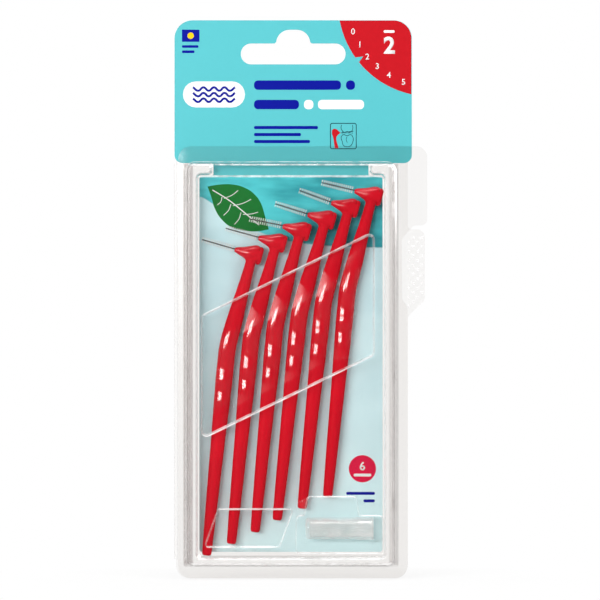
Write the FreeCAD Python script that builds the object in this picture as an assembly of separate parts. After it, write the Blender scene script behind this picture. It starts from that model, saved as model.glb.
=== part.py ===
"""Interdental brush set in its hanging clear case.

Six angled interdental brushes lie side by side on a printed card, in a two-shell clear case that
opens like a book. Each brush is a moulded handle with an angled head, a cover on the head's back,
a twisted wire and a bristle row. A loose protective cap lies in its own pocket.

The frame is upright: +X to the viewer's right, +Y away from the viewer, +Z up. The origin is the
centre of the card's hang slot, on the card's back face. Depth is measured towards the viewer, from
the card's back face, so depth is -Y. All sizes are in millimetres, and all angles in degrees.
"""

import FreeCAD, Part
import math
import os

# Sheet stock and clearances
sheet = 0.4                      # wall of both clear shells
card_thickness = 0.5
flange_gap = 0.05                # front flange to the card's front face
rim_clearance = 0.35             # front dome's inside to the rim that plugs it
card_clearance = 0.25            # card edge to the rim
lay_clearance = 0.3              # brush or cap to the card it lies on
band_clearance = 0.4             # retaining band to the brushes under it
cap_clearance = 0.4              # pocket to the cap under it
fold_clearance = 0.1             # front flange to the fold beside it
cut_over = 2.0                   # overrun of every through cut
edge_slack = 0.02                # how far from a plane an edge may lie and still count as on it

# Printed card: wide header, narrow neck between the rim's hooks, and body
header_width = 85.4
header_height = 51.4
header_top_radius = 6.5
header_foot_radius = 2.9
slot_drop = 12.1                 # card's top edge down to the slot's centre
slot_width = 37.7
slot_height = 7.5
slot_end_radius = 3.7
hump_half_width = 5.5
hump_rise = 4.95                 # over the slot's upper edge
hump_radius = 4.9
hump_foot_spread = 0.7
hump_foot_radius = 0.9
neck_notch = 5.05                # card body's side to the neck's side
neck_height = 4.7
neck_radius = 0.9
card_body_radius = 1.0
body_offset = -0.8               # body's middle from the slot's middle

# Clear case: flanges of both shells
header_overlap = 6.1             # flange that lies over the header
side_flange = 4.0
foot_flange = 4.2
case_radius = 4.7
fold_inset = 7.0                 # case's lower edge to the fold's lower end

# Front dome
dome_draft = 0.7                 # lean of the wall over the dome's depth
dome_radius = 3.2
dome_edge_round = 1.2
bend_round = 0.2                 # inside of each bend where an area is pressed into the front
panel_margin_side = 3.5
panel_margin_top = 4.6
panel_margin_foot = 2.4
panel_sink = 1.0
panel_draft = 0.35
panel_radius = 2.2

# Retaining band pressed into the front panel, and the dividers under it
band_left_inset = 1.6
band_right_inset = 3.8
band_above_bend = 16.4
band_below_bend = 29.0
band_draft = 0.6
band_radius = 2.4
divider_reach = 0.85             # below the band's floor
divider_tip_width = 0.55
divider_root_width = 1.3
divider_corner_share = 0.4       # corner radius, of the tip's width
upper_divider_length = 10.0
upper_divider_rise = 8.4         # above the bends
lower_divider_length = 4.4
lower_divider_drop = 21.5        # below the bends

# Blank field pressed into the front panel at its lower left
field_width = 28.0
field_height = 14.6
field_slant = 5.4                # upper edge to the right of the lower one
field_left_inset = 2.4
field_rise = 4.2                 # panel's lower edge to the field
field_sink = 0.95
field_draft = 0.4
field_radius = 1.6

# Rim of the back shell, which plugs the dome and holds the card
rim_headroom = 2.4               # top of the rim to the inside of the dome
rim_side_width = 4.1
rim_foot_width = 2.95
rim_foot_gap = 1.6               # card's lower edge to the rim
rim_draft = 0.55
rim_radius = 1.2
rim_edge_round = 0.6
hook_radius = 1.7
dimple_radius = 1.5
dimple_bite = 0.3
dimple_length = 6.5
dimple_depth = 4.4               # height of the dimples over the card's back face
dimple_drops = (16.3, 81.0, 127.6)   # case's top edge down to each pair of dimples

# Grip tabs on the free edge
front_tab_reach = 7.0
front_tab_height = 28.5
front_tab_radius = 4.2
front_tab_foot_radius = 2.2
back_tab_reach = 6.1
tab_stagger = 1.4                # front tab's lower edge to the back tab
back_tab_height = 31.3
back_tab_taper = 5.6
back_tab_radius = 3.0
notch_reach = 2.1
notch_height = 27.0
notch_slope_share = 1.5          # rise of the notch's lower slope, of its reach
notch_radius = 2.5
dot_radius = 0.5
dot_height = 0.25
dot_pitch_x = 1.66
dot_pitch_z = 3.3
dot_margin = 0.75
dot_columns = 4

# Brushes as they lie
brush_count = 6
brush_pitch_x = 8.64
brush_pitch_z = 4.21
row_side_room = 0.485            # card body's sides to the row's widest reach
row_shift = 0.567               # row towards the right, from the middle of that room
row_head_room = 5.78             # card body's upper edge to the highest neck's end, along the neck
row_foot_overhang = 1.53         # lowest handle past the card body's lower edge
brush_tilts = (0.0, -0.2, -0.1, 0.45, 0.2, -0.2)
wire_leans = (0.7, 0.1, -3.9, 1.5, 4.4, -1.9)

# Handle: a bent axis with an oval section
lower_lean = 5.7                 # from upright, below the bend
upper_lean = 15.4                # from upright, above the bend
bend_length = 7.0
grip_length = 75.3               # bend to the handle's lower end
neck_length = 34.6               # bend to the wire's axis
section_step = 2.4               # between the sections that shape the handle
foot_round = 1.0
foot_half_width = 1.72
foot_half_depth = 1.45
shank_drop = 42.0                # below the bend
shank_half_width = 2.42
shank_half_depth = 1.8
waist_drop = 25.0
waist_half_width = 2.8
waist_half_depth = 1.97
lower_ridge_drop = 18.4
lower_ridge_half_width = 3.0
groove_drop = 14.9
groove_half_width = 3.05
groove_half_depth = 1.98
upper_ridge_drop = 13.2
ridge_half_depth = 2.2
dip_drop = 9.2
belly_rise = 0.2                 # above the bend
belly_half_width = 3.12
belly_half_depth = 2.2
dip_half_depth = 1.95
swell_rise = 5.2
swell_half_width = 3.07
swell_half_depth = 1.98
shoulder_rise = 13.5
shoulder_half_width = 2.75
shoulder_half_depth = 1.9
throat_rise = 26.0
throat_half_width = 1.98
throat_half_depth = 1.78
neck_half_width = 1.85           # at the head
neck_half_depth = 1.7
end_shares = (0.6, 0.88)         # of the foot's section, at its end and on its rounding
end_rise_share = 0.25            # place of the second of those sections on the rounding

# Head: along the wire's axis, from the nose's tip back
nose_length = 6.73               # tip to the neck's axis
nose_tip_radius = 0.65
nose_round = 0.3
nose_radius = 0.88
nose_drop = 0.2                  # nose's middle below the wire's axis
nose_root = 4.2                  # tip to where the head swells
nose_root_radius = 2.25
crown = 6.9                      # tip to where the head is highest
crown_half_height = 3.1
crown_half_depth = 2.35
head_back = 1.97                 # neck's axis to the face that the cover closes
head_half_height = 3.05
head_half_depth = 2.4
head_rise = 0.2                  # crown's middle above the wire's axis
face_rise = 0.05                 # middle of the covered face above the wire's axis
throat_round = 1.5               # where the neck's front meets the nose
throat_drop = 3.7                # wire's axis down to the start of that rounding
throat_turn = 71.0
throat_steps = 5
throat_inset = 0.05              # rounding's start inside the neck
cover_thickness = 1.5
cover_lip = 0.15
cover_drop = 0.1                 # cover's middle below the middle of the face that it closes
cover_edge_round = 1.1

# Wire and bristles
wire_radius = 0.26
wire_bore_clearance = 0.05
wire_free_length = 12.2
wire_anchor_length = 6.0
bristle_start = 0.8
bristle_length = 11.3
bristle_radius = 1.25
bristle_tip_radius = 1.05
bristle_pitch = 0.62
bristle_width = 0.2
bristle_sleeve = 0.12

# Protective cap and the pocket over it
cap_length = 24.5
cap_radius = 3.85
cap_collar_radius = 4.1
cap_collar_length = 6.5
collar_round_share = 0.6         # of the collar's height over the tube
cap_bore_radius = 3.15
cap_floor = 1.6
cap_end_round = 1.3
cap_side_gap = 3.35              # card body's right edge to the cap's mouth
cap_foot_gap = 8.7               # card body's lower edge to the cap's axis
pocket_side_margin = 3.0
pocket_foot_margin = 4.4
pocket_top_margin = 0.5
shelf_rise = 6.8
shelf_left_inset = 4.0
shelf_right_inset = 9.6
shelf_slope = 1.2
pocket_radius = 1.2

# Places that follow from the sizes
header_top = slot_drop
header_foot = header_top - header_height
body_top = header_foot - neck_height
lower_slope, upper_slope = math.radians(lower_lean), math.radians(upper_lean)
row_half_width = (brush_count - 1) / 2 * brush_pitch_x
row_half_height = (brush_count - 1) / 2 * brush_pitch_z
neck_shift = neck_length * math.sin(upper_slope)
foot_reach = grip_length * math.sin(lower_slope) + foot_half_width
wire_reach = (nose_length + wire_free_length) * math.cos(upper_slope) - neck_shift
left_reach = max(foot_reach, wire_reach)
right_reach = neck_shift + (head_back + cover_thickness) * math.cos(upper_slope)
row_offset = (left_reach - right_reach) / 2 + row_shift
row_drop = row_head_room + neck_length + row_half_height
card_body_width = 2 * (row_half_width + row_side_room) + left_reach + right_reach
card_body_height = row_drop + row_half_height + grip_length - row_foot_overhang
neck_width = card_body_width - 2 * neck_notch
body_foot = body_top - card_body_height
body_left = body_offset - card_body_width / 2
body_right = body_offset + card_body_width / 2
rim_window_foot = body_foot - rim_foot_gap
rim_top = header_foot - card_clearance
dome_half_width = card_body_width / 2 + card_clearance + rim_side_width + rim_clearance + sheet
dome_top = rim_top + rim_clearance + sheet
dome_foot = rim_window_foot - rim_foot_width - rim_clearance - sheet
case_left = body_offset - dome_half_width - side_flange
case_right = body_offset + dome_half_width + side_flange
case_top = header_foot + header_overlap
case_foot = dome_foot - foot_flange
back_tab_drop = front_tab_height + tab_stagger
flange_depth = card_thickness + flange_gap
fold_radius = (sheet + flange_depth + sheet) / 2
fold_depth = flange_depth / 2
fold_x = case_left + fold_radius
brush_depth = card_thickness + lay_clearance + head_half_depth
band_depth = brush_depth + belly_half_depth + band_clearance
cap_depth = card_thickness + lay_clearance + cap_collar_radius
cap_left = body_right - cap_side_gap - cap_length
cap_z = body_foot + cap_foot_gap
dome_depth = cap_depth + cap_collar_radius + cap_clearance
panel_depth = dome_depth - panel_sink
rim_depth = dome_depth - rim_headroom
row_middle_x = body_offset + row_offset
row_middle_z = body_top - row_drop


def at(x, z, depth):
    """Point from its place on the card and its depth towards the viewer."""
    return FreeCAD.Vector(x, -depth, z)


def neighbours(corners):
    """Each corner between the one before it and the one after it."""
    return zip(corners[-1:] + corners[:-1], corners, corners[1:] + corners[:1])


def grown(corners, amount):
    """Moves each edge of an anticlockwise outline outwards, and keeps its corners' arcs concentric."""
    moved = []
    for (x0, z0, _), (x1, z1, radius), (x2, z2, _) in neighbours(corners):
        before = FreeCAD.Vector(x1 - x0, z1 - z0, 0).normalize()
        after = FreeCAD.Vector(x2 - x1, z2 - z1, 0).normalize()
        share = amount / (1 + before.dot(after))
        left_turn = before.cross(after).z > 0
        new_radius = radius + amount if left_turn else radius - amount
        x = x1 + share * (before.y + after.y)
        z = z1 - share * (before.x + after.x)
        moved.append((x, z, new_radius))
    return moved


def outline(corners, depth):
    """Wire of straight runs joined by tangent arcs, at one depth. A corner is (x, z, radius)."""
    arcs = []
    for (x0, z0, _), (x1, z1, radius), (x2, z2, _) in neighbours(corners):
        corner = at(x1, z1, depth)
        back = (at(x0, z0, depth) - corner).normalize()
        on = (at(x2, z2, depth) - corner).normalize()
        half = back.getAngle(on) / 2
        reach = radius / math.tan(half)
        middle = corner + (back + on).normalize() * (radius / math.sin(half) - radius)
        arcs.append((corner + back * reach, middle, corner + on * reach))
    edges = []
    for arc, next_arc in zip(arcs, arcs[1:] + arcs[:1]):
        edges.append(Part.Arc(*arc).toShape())
        edges.append(Part.LineSegment(arc[2], next_arc[0]).toShape())
    return Part.Wire(edges)


def rectangle(left, right, foot, top, radius):
    return [(left, foot, radius), (right, foot, radius), (right, top, radius), (left, top, radius)]


def slab(corners, depth_a, depth_b, inset=0.0):
    """Solid between two depths, drawn in by inset at the second one."""
    low = outline(corners, depth_a)
    high = outline(grown(corners, -inset), depth_b)
    return Part.makeLoft([low, high], True, True)


def edges_at(shape, depth):
    """Edges that lie wholly at one depth."""
    flat = []
    for edge in shape.Edges:
        box = edge.BoundBox
        if abs(box.YMin + depth) < edge_slack and abs(box.YMax + depth) < edge_slack:
            flat.append(edge)
    return flat


def card_outline():
    neck_left, neck_right = body_offset - neck_width / 2, body_offset + neck_width / 2
    half_header = header_width / 2
    return [
        (body_left, body_foot, card_body_radius),
        (body_right, body_foot, card_body_radius),
        (body_right, body_top, card_body_radius),
        (neck_right, body_top, neck_radius),
        (neck_right, header_foot, neck_radius),
        (half_header, header_foot, header_foot_radius),
        (half_header, header_top, header_top_radius),
        (-half_header, header_top, header_top_radius),
        (-half_header, header_foot, header_foot_radius),
        (neck_left, header_foot, neck_radius),
        (neck_left, body_top, neck_radius),
        (body_left, body_top, card_body_radius),
    ]


def slot_outline():
    """Long slot with round ends, and the hump over its middle that a peg sits in."""
    end, top = slot_width / 2, slot_height / 2
    hump_foot = hump_half_width + hump_foot_spread
    return [
        (-end, -top, slot_end_radius),
        (end, -top, slot_end_radius),
        (end, top, slot_end_radius),
        (hump_foot, top, hump_foot_radius),
        (hump_half_width, top + hump_rise, hump_radius),
        (-hump_half_width, top + hump_rise, hump_radius),
        (-hump_foot, top, hump_foot_radius),
        (-end, top, slot_end_radius),
    ]


def insert_card():
    board = slab(card_outline(), 0, card_thickness)
    return board.cut(slab(slot_outline(), -cut_over, card_thickness + cut_over))


def dome_inside():
    """Outline of the dome on the inside of its wall, at the flange."""
    left, right = body_offset - dome_half_width + sheet, body_offset + dome_half_width - sheet
    return rectangle(left, right, dome_foot + sheet, dome_top - sheet, dome_radius)


def panel_outline():
    (left, foot, _), _, (right, top, _), _ = dome_inside()
    return rectangle(left + panel_margin_side, right - panel_margin_side, foot + panel_margin_foot,
                     top - panel_margin_top, panel_radius)


def bend_line(x):
    """Height of the line through all the handles' bends."""
    return row_middle_z + (x - row_middle_x) * brush_pitch_z / brush_pitch_x


def band_outline():
    (panel_left, _, _), _, (panel_right, _, _), _ = panel_outline()
    left, right = panel_left + band_left_inset, panel_right - band_right_inset
    return [
        (left, bend_line(left) - band_below_bend, band_radius),
        (right, bend_line(right) - band_below_bend, band_radius),
        (right, bend_line(right) + band_above_bend, band_radius),
        (left, bend_line(left) + band_above_bend, band_radius),
    ]


def field_outline():
    (panel_left, panel_foot, _), _, _, _ = panel_outline()
    left, foot = panel_left + field_left_inset, panel_foot + field_rise
    right, top = left + field_width, foot + field_height
    return [
        (left, foot, field_radius),
        (right, foot, field_radius),
        (right + field_slant, top, field_radius),
        (left + field_slant, top, field_radius),
    ]


def pocket_outline():
    """Bump over the cap, with the finger shelf above it."""
    left, right = cap_left - pocket_side_margin, cap_left + cap_length + pocket_side_margin
    foot = cap_z - cap_collar_radius - pocket_foot_margin
    top = cap_z + cap_collar_radius + pocket_top_margin
    shelf_left, shelf_right = left + shelf_left_inset, right - shelf_right_inset
    return [
        (left, foot, pocket_radius),
        (right, foot, pocket_radius),
        (right, top, pocket_radius),
        (shelf_right + shelf_slope, top, pocket_radius),
        (shelf_right, top + shelf_rise, pocket_radius),
        (shelf_left, top + shelf_rise, pocket_radius),
        (shelf_left - shelf_slope, top, pocket_radius),
        (left, top, pocket_radius),
    ]


def capsule(x, z, depth, radius, length):
    """Upright rod with round ends, which presses a dimple into a side wall."""
    rod = Part.makeCylinder(radius, length, at(x, z - length / 2, depth), FreeCAD.Vector(0, 0, 1))
    ends = [Part.makeSphere(radius, at(x, z + side * length / 2, depth)) for side in (-1, 1)]
    return rod.multiFuse(ends)


def wall_x(depth, side):
    """Inside face of the dome's side wall, which leans in with depth."""
    lean = dome_draft * (depth - flange_depth) / (dome_depth - flange_depth)
    return body_offset + side * (dome_half_width - sheet - lean)


def dimples(radius):
    """Rods outside both side walls, whose surface bites into the wall."""
    rods = []
    for side in (-1, 1):
        x = wall_x(dimple_depth, side) + side * (dimple_radius - dimple_bite)
        rods += [capsule(x, case_top - drop, dimple_depth, radius, dimple_length) for drop in dimple_drops]
    return Part.makeCompound(rods)


def pressed(corners, floor, inset, grow):
    """Cutter that presses an area of the front down to a floor: its sides lean, and its foot is round."""
    cutter = slab(grown(corners, -grow - inset), floor + grow, dome_depth + cut_over, -inset)
    return cutter.makeFillet(bend_round + sheet - grow, edges_at(cutter, floor + grow))


def edges_on(form, tool, depth):
    """Edges of a form that lie at one depth and touch the tool that made them."""
    touched = []
    for edge in edges_at(form, depth):
        middle = Part.Vertex(edge.valueAt((edge.FirstParameter + edge.LastParameter) / 2))
        if tool.distToShape(middle)[0] < edge_slack:
            touched.append(edge)
    return touched


def press(form, cutter, surface, grow):
    """Cuts a pressed area out of a form whose surface is at one depth, and rounds the rim of the cut."""
    form = form.cut(cutter)
    return form.makeFillet(bend_round + grow, edges_on(form, cutter, surface))


def dome_form(grow):
    """Space under the front sheet, or with grow the same space and the sheet round it."""
    start = flange_depth if grow else flange_depth - cut_over
    top = dome_depth + grow
    spread = dome_draft * (flange_depth - start) / (dome_depth - flange_depth)
    form = slab(grown(dome_inside(), grow + spread), start, top, dome_draft + spread)
    form = form.makeFillet(dome_edge_round - sheet + grow, edges_at(form, top))
    form = press(form, pressed(panel_outline(), panel_depth, panel_draft, grow), top, grow)
    form = press(form, pressed(band_outline(), band_depth, band_draft, grow), panel_depth + grow, grow)
    field = pressed(field_outline(), panel_depth - field_sink, field_draft, grow)
    form = press(form, field, panel_depth + grow, grow)
    bump = slab(grown(pocket_outline(), grow + panel_draft), panel_depth - sheet, top, panel_draft)
    bump = bump.makeFillet(bend_round + grow, edges_at(bump, top))
    return form.fuse(bump).cut(dimples(dimple_radius - grow))


def brush_bend(number):
    """Place on the card of one brush's bend."""
    step = number - (brush_count - 1) / 2
    return row_middle_x + step * brush_pitch_x, row_middle_z + step * brush_pitch_z


def handle_path(along):
    """Place from the bend, and lean in radians, at a distance up the handle: straight, bent, straight."""
    low, high = math.radians(lower_lean), math.radians(upper_lean)
    middle = (low + high) / 2
    radius = bend_length / (high - low)
    run = min(max(along, -bend_length / 2), bend_length / 2)
    lean = middle + run / radius
    x = radius * (math.cos(middle) - math.cos(lean)) + (along - run) * math.sin(lean)
    z = radius * (math.sin(lean) - math.sin(middle)) + (along - run) * math.cos(lean)
    return x, z, lean


def divider(x, z, lean, length):
    """Wedge under the band that keeps two handles apart, along their lean."""
    along = FreeCAD.Vector(math.sin(lean), 0, math.cos(lean))
    across = FreeCAD.Vector(math.cos(lean), 0, -math.sin(lean))
    tip_depth, root_depth = band_depth - divider_reach, band_depth + sheet / 2
    wires = []
    for width, depth in ((divider_tip_width, tip_depth), (divider_root_width, root_depth)):
        far = (length + width - divider_tip_width) / 2
        corners = []
        for side, end in ((-1, -1), (1, -1), (1, 1), (-1, 1)):
            point = across * (side * width / 2) + along * (end * far)
            corners.append((x + point.x, z + point.z, divider_tip_width * divider_corner_share))
        wires.append(outline(corners, depth))
    return Part.makeLoft(wires, True, True)


def dividers():
    """One upper and one lower divider in each gap between two handles."""
    rows = ((upper_divider_rise, upper_divider_length), (-lower_divider_drop, lower_divider_length))
    wedges = []
    for gap in range(brush_count - 1):
        (x0, z0), (x1, z1) = brush_bend(gap), brush_bend(gap + 1)
        for rise, length in rows:
            x, z, lean = handle_path(rise)
            wedges.append(divider((x0 + x1) / 2 + x, (z0 + z1) / 2 + z, lean, length))
    return wedges


def front_flange_outline():
    """Case's outline with the front tab and the notch that bares the back tab."""
    left = fold_x + fold_radius + fold_clearance
    notch_top = case_top - back_tab_drop - notch_radius / 2
    notch_foot = notch_top - notch_height
    tab_foot = case_top - front_tab_height
    return [
        (left, case_foot, case_radius),
        (case_right, case_foot, case_radius),
        (case_right, notch_foot, notch_radius),
        (case_right - notch_reach, notch_foot + notch_reach * notch_slope_share, notch_radius),
        (case_right - notch_reach, notch_top - notch_reach, notch_radius),
        (case_right + notch_reach, tab_foot, notch_radius / 2),
        (case_right + front_tab_reach, tab_foot, front_tab_foot_radius),
        (case_right + front_tab_reach, case_top, front_tab_radius),
        (left, case_top, case_radius),
    ]


def front_shell():
    flange = slab(front_flange_outline(), flange_depth, flange_depth + sheet)
    dome, space = dome_form(sheet), dome_form(0)
    shell = flange.fuse(dome)
    shell = shell.makeFillet(bend_round, edges_on(shell, dome, flange_depth + sheet)).cut(space)
    shell = shell.makeFillet(bend_round + sheet, edges_on(shell, space, flange_depth))
    return shell.multiFuse(dividers()).removeSplitter()


def rim_outline():
    """Ring on three sides of the card's body, with a hook at each end that fills the card's notch."""
    half_width = dome_half_width - sheet - rim_clearance
    left, right = body_offset - half_width, body_offset + half_width
    foot = rim_window_foot - rim_foot_width
    window_left, window_right = body_left - card_clearance, body_right + card_clearance
    hook_left = body_offset - neck_width / 2 - card_clearance
    hook_right = body_offset + neck_width / 2 + card_clearance
    hook_foot = body_top + card_clearance
    corner = dome_radius - rim_clearance
    return [
        (left, foot, corner),
        (right, foot, corner),
        (right, rim_top, corner),
        (hook_right, rim_top, hook_radius),
        (hook_right, hook_foot, hook_radius),
        (window_right, hook_foot, rim_radius),
        (window_right, rim_window_foot, rim_radius),
        (window_left, rim_window_foot, rim_radius),
        (window_left, hook_foot, rim_radius),
        (hook_left, hook_foot, hook_radius),
        (hook_left, rim_top, hook_radius),
        (left, rim_top, corner),
    ]


def rim_form(grow):
    """Hollow of the rim, or with grow its outside."""
    start = -sheet if grow else -sheet - cut_over
    top = rim_depth - sheet + grow
    spread = -rim_draft * start / rim_depth
    form = slab(grown(rim_outline(), grow - sheet + spread), start, top, rim_draft + spread)
    form = form.makeFillet(rim_edge_round - sheet + grow, edges_at(form, top))
    return form.cut(dimples(dimple_radius + rim_clearance + sheet - grow))


def back_plate_outline():
    tab_top = case_top - back_tab_drop
    tab_foot = tab_top - back_tab_height
    return [
        (fold_x, case_foot, case_radius),
        (case_right, case_foot, case_radius),
        (case_right, tab_foot, back_tab_radius),
        (case_right + back_tab_reach, tab_foot + back_tab_taper, back_tab_radius),
        (case_right + back_tab_reach, tab_top, back_tab_radius),
        (case_right, tab_top, back_tab_radius / 2),
        (case_right, case_top, case_radius),
        (fold_x, case_top, case_radius),
    ]


def grip_dots():
    """Staggered raised dots that fill the back tab."""
    tab_top = case_top - back_tab_drop
    dots = []
    for column in range(dot_columns):
        x = case_right + back_tab_reach - dot_margin - column * dot_pitch_x
        foot_share = max(x - case_right, 0) / back_tab_reach
        foot = tab_top - back_tab_height + back_tab_taper * foot_share + back_tab_radius / 2
        z = tab_top - back_tab_radius - (column % 2) * dot_pitch_z / 2
        while z > foot:
            dots.append(Part.makeCone(dot_radius, dot_radius / 2, dot_height, at(x, z, 0), at(0, 0, 1)))
            z -= dot_pitch_z
    return dots


def fold():
    """Rolled sheet along the left edge, which the front shell swings on."""
    foot = case_foot + fold_inset
    top = header_foot - card_clearance
    return Part.makeCylinder(fold_radius, top - foot, at(fold_x, foot, fold_depth), FreeCAD.Vector(0, 0, 1))


def back_shell():
    plate = slab(back_plate_outline(), -sheet, 0)
    shell = plate.fuse(rim_form(sheet)).cut(rim_form(0))
    return shell.multiFuse(grip_dots() + [fold()]).removeSplitter()


def oval(centre, across, half_width, half_depth):
    """Oval wire of four quarter arcs. Its width lies along across, and its depth towards the viewer."""
    out = at(0, 0, 1)
    wide = half_width >= half_depth
    ellipse = Part.Ellipse(centre, max(half_width, half_depth), min(half_width, half_depth))
    ellipse.Axis = across.cross(out)
    ellipse.XAxis = across if wide else out
    quarter = math.pi / 2
    first = 0 if wide else 3
    quarters = [(first + i) * quarter for i in range(4)]
    return Part.Wire([Part.ArcOfEllipse(ellipse, a, a + quarter).toShape() for a in quarters])


def handle_sizes():
    """Curve whose value at a distance above the bend is (distance, half width, half depth)."""
    stations = [
        (foot_round - grip_length, foot_half_width, foot_half_depth),
        (-shank_drop, shank_half_width, shank_half_depth),
        (-waist_drop, waist_half_width, waist_half_depth),
        (-lower_ridge_drop, lower_ridge_half_width, ridge_half_depth),
        (-groove_drop, groove_half_width, groove_half_depth),
        (-upper_ridge_drop, belly_half_width, ridge_half_depth),
        (-dip_drop, belly_half_width, dip_half_depth),
        (belly_rise, belly_half_width, belly_half_depth),
        (swell_rise, swell_half_width, swell_half_depth),
        (shoulder_rise, shoulder_half_width, shoulder_half_depth),
        (throat_rise, throat_half_width, throat_half_depth),
        (neck_length, neck_half_width, neck_half_depth),
    ]
    curve = Part.BSplineCurve()
    curve.interpolate(Points=[FreeCAD.Vector(*station) for station in stations],
                      Parameters=[along for along, _, _ in stations])
    return curve


def handle_section(along, half_width, half_depth):
    x, z, lean = handle_path(along)
    across = FreeCAD.Vector(math.cos(lean), 0, -math.sin(lean))
    return oval(at(x, z, 0), across, half_width, half_depth)


def shaft():
    """Handle from its foot to the middle of the head, with its bend at the origin."""
    sizes = handle_sizes()
    foot, start = -grip_length, foot_round - grip_length
    count = round((neck_length - start) / section_step)
    stations = [start + (neck_length - start) * i / count for i in range(count + 1)]
    upper = [handle_section(along, sizes.value(along).y, sizes.value(along).z) for along in stations]
    blunt, round_off = end_shares
    lower = []
    for along, share in ((foot, blunt), (foot + foot_round * end_rise_share, round_off), (start, 1)):
        lower.append(handle_section(along, share * foot_half_width, share * foot_half_depth))
    return Part.makeLoft(upper, True, False).fuse(Part.makeLoft(lower, True, True))


def head_frame():
    """Where the neck's axis meets the wire's, the way the wire points, and the way up the neck."""
    x, z, lean = handle_path(neck_length)
    way = FreeCAD.Vector(-math.cos(lean), 0, math.sin(lean))
    up = FreeCAD.Vector(math.sin(lean), 0, math.cos(lean))
    return at(x, z, 0), way, up


def head_body():
    """Nose and head, from the tip back to the face that the cover closes."""
    joint, way, up = head_frame()
    tip = joint + way * nose_length
    end = (0, -nose_drop, nose_tip_radius, nose_tip_radius)
    start = (nose_round, -nose_drop, nose_radius, nose_radius)
    root = (nose_root, -nose_drop / 2, nose_root_radius, nose_root_radius)
    middle = [(a + b) / 2 for a, b in zip(start, root)]
    top = (crown, head_rise, crown_half_height, crown_half_depth)
    face = (nose_length + head_back, face_rise, head_half_height, head_half_depth - cover_lip)
    wires = [oval(tip - way * back + up * rise, up, half_height, half_depth)
             for back, rise, half_height, half_depth in (end, start, middle, root, top, face)]
    return Part.makeLoft(wires[1:], True, False).fuse(Part.makeLoft(wires[:2], True, True))


def throat():
    """Rounding between the neck's front and the nose's underside."""
    joint, way, up = head_frame()
    wires = []
    for step in range(throat_steps + 2):
        turn = math.radians(throat_turn) * min(step / throat_steps, 1)
        inside = throat_round / 2 if step > throat_steps else 0
        reach = throat_round * (1 - math.cos(turn)) + inside / 2
        level = throat_round * math.sin(turn) - throat_drop + inside
        wires.append(oval(joint + up * level + way * (reach / 2), -way,
                          neck_half_width - throat_inset + reach / 2, neck_half_depth - throat_inset))
    return Part.makeLoft(wires, True, False)


def brush_handle():
    joint, way, _ = head_frame()
    start = joint + way * (nose_length - wire_anchor_length)
    bore = Part.makeCylinder(wire_radius + wire_bore_clearance, wire_anchor_length + cut_over, start, way)
    return shaft().multiFuse([head_body(), throat()]).cut(bore)


def head_cover():
    """Plate that closes the head's back, over the wire's anchor."""
    joint, way, up = head_frame()
    front = joint - way * head_back + up * (face_rise - cover_drop)
    face = Part.Face(oval(front, up, head_half_height + cover_lip, head_half_depth))
    plate = face.extrude(-way * cover_thickness)
    back = front - way * cover_thickness
    rear = [edge for edge in plate.Edges if abs((edge.CenterOfMass - back).dot(way)) < edge_slack]
    return plate.makeFillet(cover_edge_round, rear)


def free_wire(lean):
    """Nose's tip, the way the bent free wire points, and the way the anchored wire points."""
    joint, way, up = head_frame()
    a = math.radians(lean)
    return joint + way * nose_length, way * math.cos(a) + up * math.sin(a), way


def brush_wire(lean):
    tip, bent_way, way = free_wire(lean)
    anchored = Part.makeCylinder(wire_radius, wire_anchor_length, tip - way * wire_anchor_length, way)
    free = Part.makeCylinder(wire_radius, wire_free_length, tip, bent_way)
    knee = Part.makeSphere(wire_radius, tip)
    return anchored.multiFuse([free, knee, Part.makeSphere(wire_radius, tip + bent_way * wire_free_length)])


def brush_bristles(lean):
    """Comb-like row of thin rings on a sleeve round the wire, a little smaller at the tip."""
    tip, bent_way, _ = free_wire(lean)
    core = wire_radius + wire_bore_clearance
    sleeve = core + bristle_sleeve
    count = int(bristle_length / bristle_pitch)
    profile = [(core, 0)]
    for ring in range(count):
        start = ring * bristle_pitch
        end = start + bristle_width
        radius = bristle_radius + (bristle_tip_radius - bristle_radius) * (ring / (count - 1)) ** 3
        inner = [(sleeve, start)] if ring else []
        profile += inner + [(radius, start), (radius, end), (sleeve, end)]
    profile[-1] = (core, profile[-1][1])
    points = [FreeCAD.Vector(radius, 0, along) for radius, along in profile]
    up = FreeCAD.Vector(0, 0, 1)
    row = Part.Face(Part.makePolygon(points + points[:1])).revolve(FreeCAD.Vector(0, 0, 0), up, 360)
    row.Placement = FreeCAD.Placement(tip + bent_way * bristle_start, FreeCAD.Rotation(up, bent_way))
    return row


def edges_left_of(shape, x):
    return [edge for edge in shape.Edges if edge.BoundBox.XMax < x]


def protective_cap():
    """Clear tube, closed and rounded at one end, with a collar round its mouth."""
    way = FreeCAD.Vector(1, 0, 0)
    start = at(cap_left, cap_z, cap_depth)
    inner = cap_left + cap_floor
    tube = Part.makeCylinder(cap_radius, cap_length, start, way)
    tube = tube.makeFillet(cap_end_round, edges_left_of(tube, inner))
    collar_start = start + way * (cap_length - cap_collar_length)
    collar = Part.makeCylinder(cap_collar_radius, cap_collar_length, collar_start, way)
    rims = [edge for edge in collar.Edges if edge.BoundBox.XLength < cap_collar_length / 2]
    collar = collar.makeFillet((cap_collar_radius - cap_radius) * collar_round_share, rims)
    bore = Part.makeCylinder(cap_bore_radius, cap_length, start + way * cap_floor, way)
    bore = bore.makeFillet(cap_end_round / 2, edges_left_of(bore, inner + cap_end_round / 4))
    return tube.fuse(collar).cut(bore)


def placed(shape, number):
    """A brush part, drawn with its bend at the origin, put where one brush lies."""
    x, z = brush_bend(number)
    turn = FreeCAD.Rotation(FreeCAD.Vector(0, 1, 0), brush_tilts[number])
    copy = shape.copy()
    copy.Placement = FreeCAD.Placement(at(x, z, brush_depth), turn).multiply(shape.Placement)
    return copy


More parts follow.
